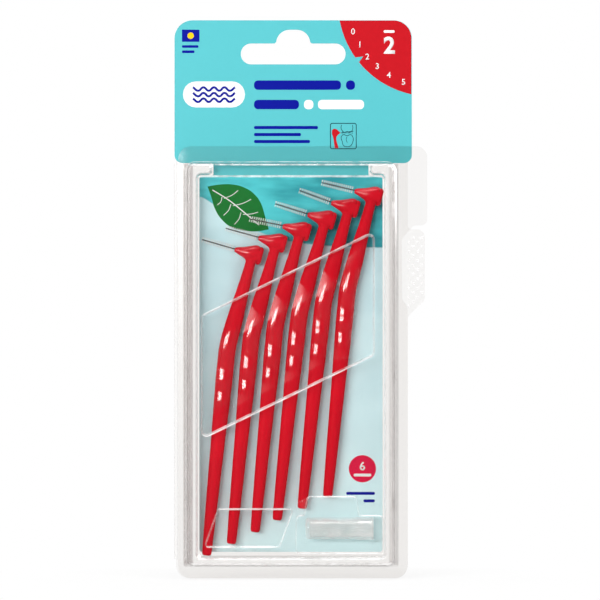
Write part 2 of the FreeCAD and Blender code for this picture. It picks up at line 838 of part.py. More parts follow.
def export(shape, node):
    solids = shape.Solids
    piece = solids[0] if len(solids) == 1 else Part.makeCompound(solids)
    piece.exportStep("parts/" + node + ".step")
    box = piece.BoundBox
    span = f"x {box.XMin:7.2f} {box.XMax:7.2f} y {box.YMin:6.2f} {box.YMax:5.2f}"
    span += f" z {box.ZMin:8.2f} {box.ZMax:8.2f}"
    print(f"{node:22s} solids {len(solids)} valid {piece.isValid()} volume {piece.Volume:8.2f} {span}")


def main():
    os.makedirs("parts", exist_ok=True)
    export(insert_card(), "insert_card")
    export(back_shell(), "back_shell")
    export(front_shell(), "front_shell")
    export(protective_cap(), "protective_cap")
    handle, cover = brush_handle(), head_cover()
    for number in range(brush_count):
        name = "brush_" + str(number + 1)
        lean = wire_leans[number]
        export(placed(handle, number), name + "_handle")
        export(placed(cover, number), name + "_head_cover")
        export(placed(brush_wire(lean), number), name + "_wire")
        export(placed(brush_bristles(lean), number), name + "_bristles")


main()
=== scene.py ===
"""Hanging pack of six angled interdental brushes: its looks, built round the packed CAD model.

The row's frame is used throughout: +X to the viewer's right, +Y away from the viewer, +Z up, with
the origin at the middle of the card's hang slot. Lengths are in metres unless a name or a comment
says millimetres.
"""

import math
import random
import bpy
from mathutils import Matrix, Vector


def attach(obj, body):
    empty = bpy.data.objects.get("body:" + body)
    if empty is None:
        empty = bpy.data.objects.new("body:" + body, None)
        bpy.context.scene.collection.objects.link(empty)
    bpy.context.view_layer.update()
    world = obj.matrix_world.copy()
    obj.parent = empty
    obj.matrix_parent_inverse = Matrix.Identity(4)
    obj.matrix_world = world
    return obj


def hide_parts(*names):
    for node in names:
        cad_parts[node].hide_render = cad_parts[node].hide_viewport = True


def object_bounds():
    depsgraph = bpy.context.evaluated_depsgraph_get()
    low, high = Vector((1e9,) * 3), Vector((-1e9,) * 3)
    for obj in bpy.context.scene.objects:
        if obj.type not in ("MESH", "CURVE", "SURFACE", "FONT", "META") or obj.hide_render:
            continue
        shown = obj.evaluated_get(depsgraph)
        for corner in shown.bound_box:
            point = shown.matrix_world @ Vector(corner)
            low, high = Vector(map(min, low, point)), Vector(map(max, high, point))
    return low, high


bl_info = {
    "name": "Hanging pack of angled interdental brushes",
    "version": (1, 0, 0),
    "blender": (4, 5, 0),
    "location": "3D View > Sidebar > Brush pack",
    "description": "Dresses the packed model: printed card, clear case, brushes, cap and studio",
    "category": "Object",
}

import bmesh
import bpy
import numpy as np
from bpy.props import FloatProperty, FloatVectorProperty, PointerProperty
from mathutils import Matrix, Vector

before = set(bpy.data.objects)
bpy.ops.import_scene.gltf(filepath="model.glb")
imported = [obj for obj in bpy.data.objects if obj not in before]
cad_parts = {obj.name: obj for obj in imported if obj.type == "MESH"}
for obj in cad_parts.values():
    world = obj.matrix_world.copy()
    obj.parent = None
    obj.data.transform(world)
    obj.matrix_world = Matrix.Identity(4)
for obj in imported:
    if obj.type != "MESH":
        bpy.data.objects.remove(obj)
cad_low, cad_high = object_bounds()

MM = 0.001
BRUSHES = range(1, 7)
FACE_THE_VIEWER = Matrix.Rotation(math.radians(90), 4, "X")

# The photograph's grid, which the print and the camera follow
PIXEL = 0.36 * MM                # one pixel on the card
PIXEL_X0, PIXEL_Z0 = 293.2, 54.0     # the hang slot's middle
PICTURE_WIDTH = 600              # in pixels
SENSOR = 36                      # width of the camera's sensor, in millimetres

# Card and print
CARD_FRONT = -0.5 * MM           # y of the card's front face
INK_STEP = 0.01 * MM             # each layer of print stands this much before the one under it
BAR_ROUNDING = 0.42              # corner radius of a printed bar, as a share of its height
HEADER_CORNER = 6.4 * MM         # radius of the header's corners

# Places of the card's grounds, in millimetres from the hang slot's middle
HEADER_FOOT = -44.0              # z where the header's colour ends
WATER_LEFT = -33.2               # x where the waterline starts
WATER_RUN = 18.7                 # how far it slopes down to the right
WATER_DROP = 18.3                # and by how much
WATER_FOOT = -69.8               # z where it levels out

# Clear sheet
BEND_FACING = (0.5, 0.95)        # a face of a bend leans between these shares of facing the viewer
BEND_WIDTH = 0.16 * MM           # and is narrower than this
BEND_PAINTED_GLOW = 0.3                  # painted glow, so that a bend's painted glint stays white where no lamp falls on it
SHEET_SHINE = 0.025              # share of light that a face mirrors, seen squarely
CASE_MIDDLE = -0.8               # x of the case's middle, in millimetres
STRIP_SIDES = (35.2, 38.6)       # the strips of painted haze and shade lie this far to each side of it, in millimetres
STRIP_ENDS = (-184.0, -39.5)     # z of their ends, in millimetres
STRIP_LEFT, STRIP_RIGHT = 1.6, 0.75      # how strong each strip's painted haze and shade is; the left is painted darker
TOUCH = 0.001 * MM               # a face this near the card's back lies on it
CARD_ROOM = 0.02 * MM            # and is drawn this far behind it, so that the two don't flicker
JOIN = 0.0005 * MM               # points of a CAD mesh nearer than this are one point

# Brushes
ROW_SLOPE = 0.5                  # the row of brushes climbs by this share of its run
GRIP_ENDS = (88.9, 114.0)        # polished grip, in millimetres down from the slot along that slope
HEAD_END = 64.5                  # end of the polished head, measured in the same way
STRAND_SIDES = 10
STEPS_PER_TURN = 14              # of a strand
TUFTS_PER_TURN = 4
FULL_TUFT, THIN_TUFT = 18, 2     # filaments of every other tuft, and of those between
SHORTEST = 0.88                  # share of its reach that the shortest filament has
TURN_SPREAD, LEAN_SPREAD = 0.06, 0.025   # spread of a filament's turn and lean, in radians

# Studio: each lamp's name, the setting of its power, its size and its place
LAMPS = (
    ("key_lamp", "key", (0.8, 0.22), (-0.57, -1.033, 0.09)),
    ("fill_lamp", "fill", (1.0, 0.8), (0.95, -0.75, 0.1)),
    ("top_lamp", "top", (0.7, 0.12), (0.0, -0.35, 0.8)),
    ("back_lamp", "back", (0.8, 0.8), (0.45, 1.25, 0.35)),
)
FLOOR_RADIUS = 4.0
FLOOR_DROP = 0.2 * MM            # from the object's foot to the floor
FOOT_HALF_WIDTH = 40.0           # of the object, in millimetres
SHADOW_REACH = 70.0              # from the foot to where the floor is plain white, in millimetres
CLEAR_LAYERS = 32                # see-through faces that a ray may cross


def linear(red, green, blue):
    """Scene-linear colour of one given as 0 to 255 on a display."""
    shares = (red / 255, green / 255, blue / 255)
    return tuple(s / 12.92 if s <= 0.04045 else ((s + 0.055) / 1.055) ** 2.4 for s in shares)


def rgba(colour):
    return (*colour, 1.0)


def spot(px, py):
    """Place on the card of a pixel of the photograph."""
    return Vector(((px - PIXEL_X0) * PIXEL, 0, (PIXEL_Z0 - py) * PIXEL))


# Settings

def colour(name, description, red, green, blue):
    return FloatVectorProperty(name=name, description=description, subtype="COLOR", size=3,
                               min=0, max=1, default=linear(red, green, blue))


def length(name, description, millimetres):
    return FloatProperty(name=name, description=description, subtype="DISTANCE", unit="LENGTH",
                         precision=5, default=millimetres * MM)


def share(name, description, default):
    return FloatProperty(name=name, description=description, subtype="FACTOR", min=0, max=1,
                         default=default)


def power(name, description, watts):
    return FloatProperty(name=name, description=description, unit="POWER", default=watts)


class BRUSHPACK_PG_print(bpy.types.PropertyGroup):
    """Inks of the printed card"""

    header: colour("Header", "Ground colour of the card's header", 86, 192, 199)
    water: colour("Water", "Bright part of the water at the window's top", 78, 210, 218)
    deep: colour("Deep water", "Dark patches of the water", 20, 148, 160)
    pale: colour("Pale ground", "Ground below the waterline", 219, 250, 255)
    ripple: colour("Ripple", "Soft shade in the pale ground", 203, 237, 244)
    board: colour("Board", "Bare board at the back and the edges", 232, 230, 225)
    blue: colour("Blue ink", "Dark blue marks", 2, 16, 150)
    red: colour("Red ink", "Corner with the size scale", 196, 20, 32)
    badge: colour("Badge ink", "Round badge above the cap", 222, 20, 68)
    green: colour("Green ink", "Leaf", 0, 116, 38)
    yellow: colour("Yellow ink", "Dot on the small tag", 250, 205, 20)
    line: colour("Line ink", "Thin lines of the pictogram", 8, 44, 56)
    grain: length("Grain", "Size of the paper's grain", 0.9)


class BRUSHPACK_PG_sheet(bpy.types.PropertyGroup):
    """Clear formed sheet of the case and moulded plastic of the cap"""

    haze: colour("Haze", "Colour of the sheet where it is seen edge on", 186, 178, 176)
    clarity: share("Clarity", "Light that one face lets through, seen squarely", 0.983)
    edge_haze: share("Edge haze", "Haze where a face is seen at a grazing angle", 0.75)
    gloss: share("Roughness", "Roughness of the sheet's reflections", 0.2)
    # Painted grey haze and shade in the strips along the case's side walls
    side_haze: share("Side haze", "Haze of a face in the strips along the case's sides", 0.17)
    cap_white: colour("Cap white", "Colour of the cap where it is seen edge on", 232, 244, 248)
    cap_haze: share("Cap haze", "Haze of the cap where it is seen at a grazing angle", 0.5)
    # Painted glint with a painted glow, broken across the cap's wall
    cap_bend: share("Cap bend white", "White that breaks up the cap's clear wall", 0.2)
    cap_shine: share("Cap shine", "Light that a face of the cap mirrors, seen squarely", 0.1)
    # Painted glints, with a painted glow, on the case's bends across and upright
    bend_white: share("Cross bend white", "White that an edge across the case adds", 0.55)
    side_white: share("Side bend white", "White that an upright edge adds", 0.14)


class BRUSHPACK_PG_brush(bpy.types.PropertyGroup):
    """Moulded handle, twisted wire and filaments"""

    plastic: colour("Handle", "Red of the moulded handle and its cover", 217, 0, 31)
    wire: colour("Wire", "Coated wire", 44, 13, 17)
    filament: colour("Filament", "Bristle filaments", 250, 252, 250)
    wire_radius: length("Wire radius", "Radius round both strands", 0.26)
    wire_free: length("Free wire", "Nose's tip to the wire's tip", 12.2)
    wire_hold: length("Held wire", "Wire inside the nose", 1.2)
    twist: length("Twist", "Length of one turn of the twisted wire", 1.6)
    row_start: length("Row start", "Nose's tip to the first filament", 0.8)
    filament_radius: length("Filament radius", "Half the thickness of one filament", 0.036)
    tuft_spread: length("Tuft spread", "Length of wire that one tuft takes up", 0.28)
    root_reach: length("Root reach", "Length of a filament near the nose", 1.25)
    tip_reach: length("Tip reach", "Length of a filament at the wire's tip", 1.05)


class BRUSHPACK_PG_stage(bpy.types.PropertyGroup):
    """Studio: lamps, camera and floor"""

    distance: length("Camera distance", "Camera to the card", 1500)
    ambient: share("Ambient", "World light on the object", 0.27)
    key: power("Key lamp", "Power of the lamp at the left", 8.1)
    fill: power("Fill lamp", "Power of the lamp at the right", 2.4)
    top: power("Top lamp", "Power of the lamp above", 4.6)
    back: power("Back lamp", "Power of the lamp behind", 7.0)
    floor: colour("Floor", "Plain pale floor", 244, 244, 244)
    floor_glow: share("Floor glow", "White of the floor by the object's foot", 0.8)
    floor_shine: share("Floor shine", "White that shiny faces see in the floor in front", 0.1)


# Materials

class Tone:
    """A shader socket that takes part in Python arithmetic: each operation adds a Math node."""

    def __init__(self, paint, socket):
        self.paint, self.socket = paint, socket

    def out(self, name):
        """Another output of the same node."""
        return Tone(self.paint, self.socket.node.outputs[name])

    def clamped(self):
        return self.paint.math("ADD", self, 0.0, clamp=True)

    def __add__(self, other):
        return self.paint.math("ADD", self, other)

    def __sub__(self, other):
        return self.paint.math("SUBTRACT", self, other)

    def __rsub__(self, other):
        return self.paint.math("SUBTRACT", other, self)

    def __mul__(self, other):
        return self.paint.math("MULTIPLY", self, other)

    def __truediv__(self, other):
        return self.paint.math("DIVIDE", self, other)

    def __pow__(self, other):
        return self.paint.math("POWER", self, other)

    def __rpow__(self, other):
        return self.paint.math("POWER", other, self)

    def __lt__(self, other):
        return self.paint.math("LESS_THAN", self, other)

    __radd__ = __add__
    __rmul__ = __mul__


class Paint:
    """One material, and the nodes that are added to it."""

    def __init__(self, name, kind="materials", output="Material"):
        self.material = getattr(bpy.data, kind).new(name)
        self.material.use_nodes = True
        self.tree = self.material.node_tree
        self.tree.nodes.clear()
        self.output = "ShaderNodeOutput" + output

    def node(self, kind, settings=None, inputs=None, output=0):
        """Adds a node, sets it, sets or links its sockets, and gives one of its outputs."""
        made = self.tree.nodes.new("ShaderNode" + kind)
        for key, value in (settings or {}).items():
            setattr(made, key, value)
        for key, value in (inputs or {}).items():
            if isinstance(value, Tone):
                self.tree.links.new(value.socket, made.inputs[key])
            else:
                made.inputs[key].default_value = value
        return Tone(self, made.outputs[output])

    def math(self, operation, *values, clamp=False):
        return self.node("Math", {"operation": operation, "use_clamp": clamp},
                         dict(enumerate(values)))

    def place(self):
        """Object coordinates, as one vector and as x, y and z in millimetres."""
        vector = self.node("TexCoord", output="Object")
        parts = self.node("SeparateXYZ", inputs={0: vector})
        return vector, parts / MM, parts.out("Y") / MM, parts.out("Z") / MM

    def noise(self, vector, size, detail=2.0, stretch=None):
        """Noise from 0 to 1, its cells about size across or scaled by a share on each axis."""
        if stretch:
            vector = self.node("Mapping", inputs={"Vector": vector, "Scale": stretch})
        return self.node("TexNoise", None, {"Vector": vector, "Scale": 1 / size, "Detail": detail})

    def blend(self, mask, low, high):
        """Mixes two colours by a mask."""
        return self.node("Mix", {"data_type": "RGBA"}, {0: mask, 6: low, 7: high}, output=2)

    def mix(self, mask, low, high):
        """Mixes two shaders by a mask."""
        return self.node("MixShader", None, {0: mask, 1: low, 2: high})

    def step(self, value, width):
        """Mask that goes from 0 to 1 where value crosses zero, over a width."""
        return (value / width + 0.5).clamped()

    def band(self, value, ends, widths):
        """Mask that is 1 between two ends, each blurred over its own width."""
        return self.step(value - ends[0], widths[0]) * self.step(ends[1] - value, widths[1])

    def bump(self, height, distance):
        return self.node("Bump", None, {"Height": height, "Distance": distance})

    def surface(self, shader):
        output = self.tree.nodes.new(self.output)
        self.tree.links.new(shader.socket, output.inputs["Surface"])
        return self.material


def shaded(base, amount):
    """A colour made darker, or with an amount over 1 lighter."""
    return rgba([min(1.0, part * amount) for part in base])


def water_colour(paint, inks, vector, x, z):
    """Bright water that deepens to the right and downwards, with light swirls."""
    waves = paint.noise(vector, 17 * MM, stretch=(0.7, 1.0, 1.9))
    swirls = paint.noise(vector, 6 * MM, detail=3.0, stretch=(0.6, 1.0, 2.2))
    to_right = paint.step(x + 4.0, width=40.0)
    downwards = paint.step(-52.0 - z, width=26.0)
    patches = (waves * 1.5 + swirls * 0.5 - 1.08) * 2.2
    depth = (patches + to_right * 0.55 + downwards * 0.4).clamped()
    water = paint.blend(depth, rgba(inks.water), rgba(inks.deep))
    return paint.blend((swirls * 3.0 - 1.9).clamped() * 0.35, water, shaded(inks.water, 1.25))


def pale_colour(paint, inks, vector, z):
    """Pale ground with soft ripples, lighter towards its foot."""
    clouds = paint.noise(vector, 26 * MM, detail=1.5, stretch=(0.8, 1.0, 1.2))
    veins = paint.noise(vector, 9 * MM, stretch=(0.7, 1.0, 1.5))
    ripples = ((clouds - 0.45) * 3.0 + (veins - 0.5) * 0.8).clamped()
    pale = paint.blend(ripples, rgba(inks.ripple), rgba(inks.pale))
    return paint.blend(paint.step(-125.0 - z, width=90.0) * 0.5, pale, shaded(inks.pale, 1.1))


def printed_card(inks):
    """Coated board: teal header, water and pale ground in the window, bare board behind."""
    paint = Paint("printed_card")
    vector, x, y, z = paint.place()
    grain = paint.noise(vector, inks.grain, detail=4.0)
    run = paint.math("MAXIMUM", (x - WATER_LEFT) / WATER_RUN, 0.0)
    waterline = math.e ** (0.0 - run ** 1.3) * WATER_DROP + WATER_FOOT
    window = paint.blend(paint.step(z - waterline, width=0.5),
                         pale_colour(paint, inks, vector, z),
                         water_colour(paint, inks, vector, x, z))
    in_header = paint.step(z - HEADER_FOOT, width=0.1)
    printed = paint.blend(in_header, window, rgba(inks.header))
    printed = paint.blend((grain - 0.35) * 0.12, printed, shaded(inks.header, 0.7))
    fibre = paint.noise(vector, 3 * MM, detail=5.0, stretch=(0.3, 1.0, 1.6))
    board = paint.blend(fibre, shaded(inks.board, 0.86), rgba(inks.board))
    front = y < CARD_FRONT / MM + 0.01
    return paint.surface(paint.node("BsdfPrincipled", None, {
        "Base Color": paint.blend(front, board, printed),
        "Roughness": 0.62 - front * 0.24 + grain * 0.06,
        "Normal": paint.bump(grain, 0.004 * MM),
        "Specular IOR Level": 0.25,
    }))


def ink(name, base):
    """Printed ink with a little mottle, on the coated board."""
    paint = Paint(name)
    vector, *_ = paint.place()
    mottle = paint.noise(vector, 1.4 * MM, detail=4.0)
    return paint.surface(paint.node("BsdfPrincipled", None, {
        "Base Color": paint.blend(mottle, shaded(base, 0.93), shaded(base, 1.05)),
        "Roughness": 0.34 + mottle * 0.1,
        "Normal": paint.bump(mottle, 0.002 * MM),
        "Specular IOR Level": 0.08,
    }))


def clear_plastic(name, sheet, haze_colour, edge_haze, white=0.0, shine=SHEET_SHINE):
    """See-through plastic, hazier at grazing angles, with painted haze and shade in side strips.

    White is the share of a painted glint, broken up and with a painted glow, that a bend adds.
    """
    paint = Paint(name)
    vector, x, _, z = paint.place()
    flow = paint.noise(vector, 9 * MM, stretch=(1.0, 1.0, 0.5))
    aside = paint.math("ABSOLUTE", x - CASE_MIDDLE)
    # Painted grey haze and shade along the case's side walls, darker on the left
    side_shade = (paint.band(aside, STRIP_SIDES, (0.6, 0.6)) * paint.band(z, STRIP_ENDS, (1.6, 0.8))
             * (STRIP_LEFT - paint.step(x, width=10.0) * (STRIP_LEFT - STRIP_RIGHT)))
    edge = paint.node("LayerWeight", None, {"Blend": 0.5}, output="Facing")
    tint = (sheet.clarity, sheet.clarity * 0.995, sheet.clarity * 0.99)
    window = paint.node("BsdfTransparent", None, {"Color": rgba(tint)})
    haze = paint.node("BsdfPrincipled", None, {
        "Base Color": rgba(haze_colour), "Roughness": 0.35, "Specular IOR Level": 0.3})
    haze_and_side_shade = edge ** 3 * edge_haze + side_shade * sheet.side_haze * (0.7 + flow * 0.6)
    body = paint.mix(haze_and_side_shade, window, haze)
    # Painted glint on a bend: broken-up white with a painted glow, white where no lamp falls
    if white:
        bend = paint.node("BsdfPrincipled", None, {
            "Base Color": (0.95, 0.95, 0.95, 1), "Roughness": 0.3,
            "Emission Color": (1, 1, 1, 1), "Emission Strength": BEND_PAINTED_GLOW})
        broken = paint.noise(vector, 5 * MM, detail=3.0)
        body = paint.mix((broken * 3.2 - 0.8).clamped() * white, body, bend)
    mirror = paint.node("BsdfAnisotropic", None, {
        "Color": (1, 1, 1, 1), "Roughness": sheet.gloss, "Normal": paint.bump(flow, 0.05 * MM)})
    return paint.surface(paint.mix(edge ** 5 * (1 - shine) + shine, body, mirror))


def moulded_red(brush):
    """Moulded plastic with faint flow marks, dull but for the polished grip and head."""
    paint = Paint("moulded_red")
    vector, x, _, z = paint.place()
    flow = paint.noise(vector, 5 * MM, detail=3.0, stretch=(1.0, 1.0, 0.25))
    pores = paint.noise(vector, 0.5 * MM)
    down = x * ROW_SLOPE - z
    grip = paint.band(down, GRIP_ENDS, (1.4, 3.0))
    head = paint.step(HEAD_END - down, width=2.0)
    return paint.surface(paint.node("BsdfPrincipled", None, {
        "Base Color": paint.blend(flow, shaded(brush.plastic, 0.9), shaded(brush.plastic, 1.06)),
        "Roughness": 0.42 + flow * 0.08,
        "Specular IOR Level": 0.03,
        "Coat Weight": grip + head * 0.7,
        "Coat Roughness": 0.1,
        "Coat IOR": 1.7,
        "Normal": paint.bump(pores, 0.003 * MM),
    }))


def coated_wire(brush):
    """Dark coated wire, lighter and darker in fine random patches."""
    paint = Paint("coated_wire")
    vector, *_ = paint.place()
    speckle = paint.noise(vector, 0.4 * MM)
    return paint.surface(paint.node("BsdfPrincipled", None, {
        "Base Color": paint.blend(speckle, shaded(brush.wire, 0.6), shaded(brush.wire, 1.5)),
        "Roughness": 0.35 + speckle * 0.15,
        "Specular IOR Level": 0.3,
    }))


def nylon(brush):
    """Pale filament, with a faint painted glow that stands in for light it gathers."""
    paint = Paint("nylon")
    vector, *_ = paint.place()
    shade = paint.noise(vector, 0.8 * MM, detail=1.0)
    return paint.surface(paint.node("BsdfPrincipled", None, {
        "Base Color": paint.blend(shade, shaded(brush.filament, 0.85), rgba(brush.filament)),
        "Roughness": 0.35 + shade * 0.1,
        "Alpha": 0.97,
        # Painted glow: the filaments glow faintly, though they are no lamp
        "Emission Color": (1, 1, 1, 1),
        "Emission Strength": 0.04,
    }))


# Mesh helpers

def object_from(name, bm, material, body, smooth=False):
    """Makes the piece from a bmesh, gives it its material, and lets it ride on its body."""
    mesh = bpy.data.meshes.new(name)
    bm.to_mesh(mesh)
    bm.free()
    mesh.materials.append(material)
    if smooth:
        mesh.shade_smooth()
        mesh.set_sharp_from_angle(angle=math.radians(40))
    piece = bpy.data.objects.new(name, mesh)
    bpy.context.scene.collection.objects.link(piece)
    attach(piece, body)
    return piece


def edges_at(verts):
    """Edges at some points, each once and always in the same order."""
    return list(dict.fromkeys(edge for vert in verts for edge in vert.link_edges))


def points_of(mesh):
    """Places of a mesh's points, one to a row."""
    places = np.empty(len(mesh.vertices) * 3, np.float32)
    mesh.vertices.foreach_get("co", places)
    return places.reshape(-1, 3)


def mesh_of(curve):
    """Mesh of a curve or text, which is then removed."""
    holder = bpy.data.objects.new(curve.name, curve)
    mesh = bpy.data.meshes.new_from_object(holder)
    bpy.data.objects.remove(holder)
    bpy.data.curves.remove(curve)
    return mesh


class Print:
    """Marks of one ink on the card: flat shapes, and strokes of flattened tube.

    Places and widths are in pixels of the photograph. A point's third number marks a sharp corner.
    """

    def __init__(self):
        self.flats, self.strokes = bmesh.new(), bmesh.new()

    def bar(self, left, right, middle, height, rounding=None):
        """Bar with rounded corners."""
        radius = height * BAR_ROUNDING if rounding is None else rounding
        place = Matrix.Translation(spot((left + right) / 2, middle)) @ FACE_THE_VIEWER
        size = Matrix.Diagonal(((right - left) * PIXEL, height * PIXEL, 1, 1))
        grid = bmesh.ops.create_grid(self.flats, x_segments=1, y_segments=1, size=0.5,
                                     matrix=place @ size)
        bmesh.ops.bevel(self.flats, geom=grid["verts"], offset=radius * PIXEL,
                        offset_type="OFFSET", affect="VERTICES", segments=5, profile=0.5,
                        material=-1)

    def disc(self, px, py, radius, segments=48):
        """Round patch. Gives its points."""
        place = Matrix.Translation(spot(px, py)) @ FACE_THE_VIEWER
        return bmesh.ops.create_circle(self.flats, cap_ends=True, segments=segments,
                                       radius=radius * PIXEL, matrix=place)["verts"]

    def patch(self, points):
        """Straight-sided patch."""
        self.flats.faces.new([self.flats.verts.new(spot(*point)) for point in points])

    def _curve(self, points, closed, handles):
        curve = bpy.data.curves.new("outline", "CURVE")
        curve.dimensions = "2D"
        spline = curve.splines.new("BEZIER")
        spline.bezier_points.add(len(points) - 1)
        for knot, (px, py, *corner) in zip(spline.bezier_points, points):
            place = spot(px, py)
            knot.co = (place.x, place.z, 0)
            knot.handle_left_type = knot.handle_right_type = "VECTOR" if corner else handles
        spline.use_cyclic_u = closed
        spline.resolution_u = 8
        return curve

    def _take(self, bm, mesh, matrix):
        mesh.transform(matrix)
        bm.from_mesh(mesh)
        bpy.data.meshes.remove(mesh)

    def shape(self, points):
        """Filled outline through points, smooth but at its sharp corners."""
        curve = self._curve(points, True, "AUTO")
        curve.fill_mode = "BOTH"
        self._take(self.flats, mesh_of(curve), FACE_THE_VIEWER)

    def stroke(self, points, width, closed=False, handles="AUTO"):
        """Line of one width through points."""
        curve = self._curve(points, closed, handles)
        curve.dimensions = "3D"
        curve.bevel_depth = width * PIXEL / 2
        curve.bevel_resolution = 1
        curve.use_fill_caps = not closed
        flatten = Matrix.Diagonal((1, 1, INK_STEP / (width * PIXEL), 1))
        self._take(self.strokes, mesh_of(curve), FACE_THE_VIEWER @ flatten)

    def figure(self, text, px, py, height, weight):
        """Plain figure, centred on a pixel and made bolder by a weight."""
        curve = bpy.data.curves.new("figure", "FONT")
        curve.body = text
        curve.offset = weight
        mesh = mesh_of(curve)
        points = points_of(mesh)
        low, high = points.min(0), points.max(0)
        middle = Vector((low + high).tolist()) / 2
        grow = height * PIXEL / float(high[1] - low[1])
        place = Matrix.Translation(spot(px, py)) @ FACE_THE_VIEWER @ Matrix.Scale(grow, 4)
        self._take(self.flats, mesh, place @ Matrix.Translation(-middle))

    def finish(self, name, layer, material):
        """Gives the flat shapes their thickness, lays all on the card and makes the piece."""
        depth = CARD_FRONT - layer * INK_STEP
        bmesh.ops.recalc_face_normals(self.flats, faces=self.flats.faces)
        bmesh.ops.solidify(self.flats, geom=self.flats.faces[:], thickness=INK_STEP)
        for vert in self.flats.verts:
            vert.co.y = depth if abs(vert.co.y) > INK_STEP / 2 else depth + INK_STEP
        bmesh.ops.translate(self.strokes, verts=self.strokes.verts,
                            vec=(0, depth + INK_STEP / 2, 0))
        strokes = bpy.data.meshes.new("strokes")
        self.strokes.to_mesh(strokes)
        self.strokes.free()
        self.flats.from_mesh(strokes)
        bpy.data.meshes.remove(strokes)
        bmesh.ops.recalc_face_normals(self.flats, faces=self.flats.faces)
        return object_from(name, self.flats, material, "case_back")


def dress(node, material):
    """Gives a CAD node a material and leaves its shape alone."""
    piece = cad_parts[node]
    if not piece.material_slots:
        raise RuntimeError(node + " has no material slot")
    for material_slot in piece.material_slots:
        material_slot.material = material


def merged_copy(node):
    """Mesh of a CAD node with its loose triangles joined."""
    bm = bmesh.new()
    bm.from_mesh(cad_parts[node].data)
    bmesh.ops.remove_doubles(bm, verts=bm.verts, dist=JOIN)
    return bm


def mark_bends(bm):
    """Gives the bends that run across the second material, and those that run upright the third,
    which paint glints on them.
    """
    for face in bm.faces:
        width = 2 * face.calc_area() / max(edge.calc_length() for edge in face.edges)
        leans = BEND_FACING[0] < abs(face.normal.y) < BEND_FACING[1]
        if leans and width < BEND_WIDTH:
            face.material_index = 1 if abs(face.normal.z) > abs(face.normal.x) else 2


def formed_copy(node, name, materials, body, sharp=35):
    """Stands in for a CAD node with its joined mesh, smooth over its curves."""
    bm = merged_copy(node)
    if node == "back_shell":
        touching = [vert for vert in bm.verts if abs(vert.co.y) < TOUCH]
        bmesh.ops.translate(bm, verts=touching, vec=(0, CARD_ROOM, 0))
    if len(materials) > 1:
        mark_bends(bm)
    mesh = bpy.data.meshes.new(name)
    bm.to_mesh(mesh)
    bm.free()
    for material in materials:
        mesh.materials.append(material)
    mesh.shade_smooth()
    mesh.set_sharp_from_angle(angle=math.radians(sharp))
    piece = bpy.data.objects.new(name, mesh)
    bpy.context.scene.collection.objects.link(piece)
    weighted = piece.modifiers.new("weighted_normals", "WEIGHTED_NORMAL")
    weighted.keep_sharp = True
    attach(piece, body)
    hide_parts(node)
    return piece


def bristle_axis(number, row_start):
    """Nose's tip and the way the free wire points, from the CAD row of bristles."""
    points = points_of(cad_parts[f"brush_{number}_bristles"].data).astype(float)
    middle = points.mean(0)
    way = np.linalg.svd(points - middle, full_matrices=False)[2][0]
    way = way if way[0] < 0 else -way
    along = (points - middle) @ way
    start = middle + way * along.min()
    return Vector((start - way * row_start).tolist()), Vector(way.tolist())


def along_wire(tip, way):
    """Matrix that stands the Z axis on the nose's tip, along the wire."""
    return Matrix.Translation(tip) @ way.to_track_quat("Z", "Y").to_matrix().to_4x4()


# Operators, one for each piece or group of like pieces

class BRUSHPACK_OT_card(bpy.types.Operator):
    """Prints the card's grounds"""

    bl_idname = "brushpack.card"
    bl_label = "Card"

    def execute(self, context):
        dress("insert_card", printed_card(context.scene.brushpack_print))
        return {"FINISHED"}


class BRUSHPACK_OT_size_scale(bpy.types.Operator):
    """Prints the header's red corner with its pointer and its scale of sizes"""

    bl_idname = "brushpack.size_scale"
    bl_label = "Size scale"

    middle, radius = (430.7, 3.8), 92.6
    right_edge, top_edge = 411.4, 20.6
    pointer = ((355.2, 57.6), (359.0, 62.2), (363.2, 56.5))
    places = ((353, 31.5), (359.8, 44.5), (367.3, 56.6), (377.3, 66.2), (388.8, 75), (403.4, 82))

    def execute(self, context):
        inks = context.scene.brushpack_print
        corner = Print()
        circle = corner.disc(*self.middle, self.radius, segments=180)
        geometry = circle + edges_at(circle) + corner.flats.faces[:]
        for edge, outwards in ((spot(self.right_edge, 0), (1, 0, 0)),
                               (spot(0, self.top_edge), (0, 0, 1))):
            bmesh.ops.bisect_plane(corner.flats, geom=geometry, dist=1e-7, plane_co=edge,
                                   plane_no=outwards, clear_outer=True)
            geometry = corner.flats.verts[:] + corner.flats.edges[:] + corner.flats.faces[:]
        top_right = max(corner.flats.verts, key=lambda vert: vert.co.x + vert.co.z)
        bmesh.ops.bevel(corner.flats, geom=[top_right], offset=HEADER_CORNER,
                        offset_type="OFFSET", affect="VERTICES", segments=10, profile=0.5,
                        material=-1)
        corner.finish("header_scale_corner", 1, ink("red_ink", inks.red))

        pointer = Print()
        pointer.patch(self.pointer)
        pointer.finish("header_scale_pointer", 2, ink("pointer_ink", inks.header))

        figures = Print()
        for number, (px, py) in enumerate(self.places):
            figures.figure(str(number), px, py, 5.9, weight=0.012)
        figures.figure("2", 389.3, 45.3, 17.2, weight=0.03)
        figures.bar(383.6, 394.6, 31.6, 2.6)
        figures.finish("header_scale_figures", 3, ink("white_ink", (0.9, 0.9, 0.9)))
        return {"FINISHED"}


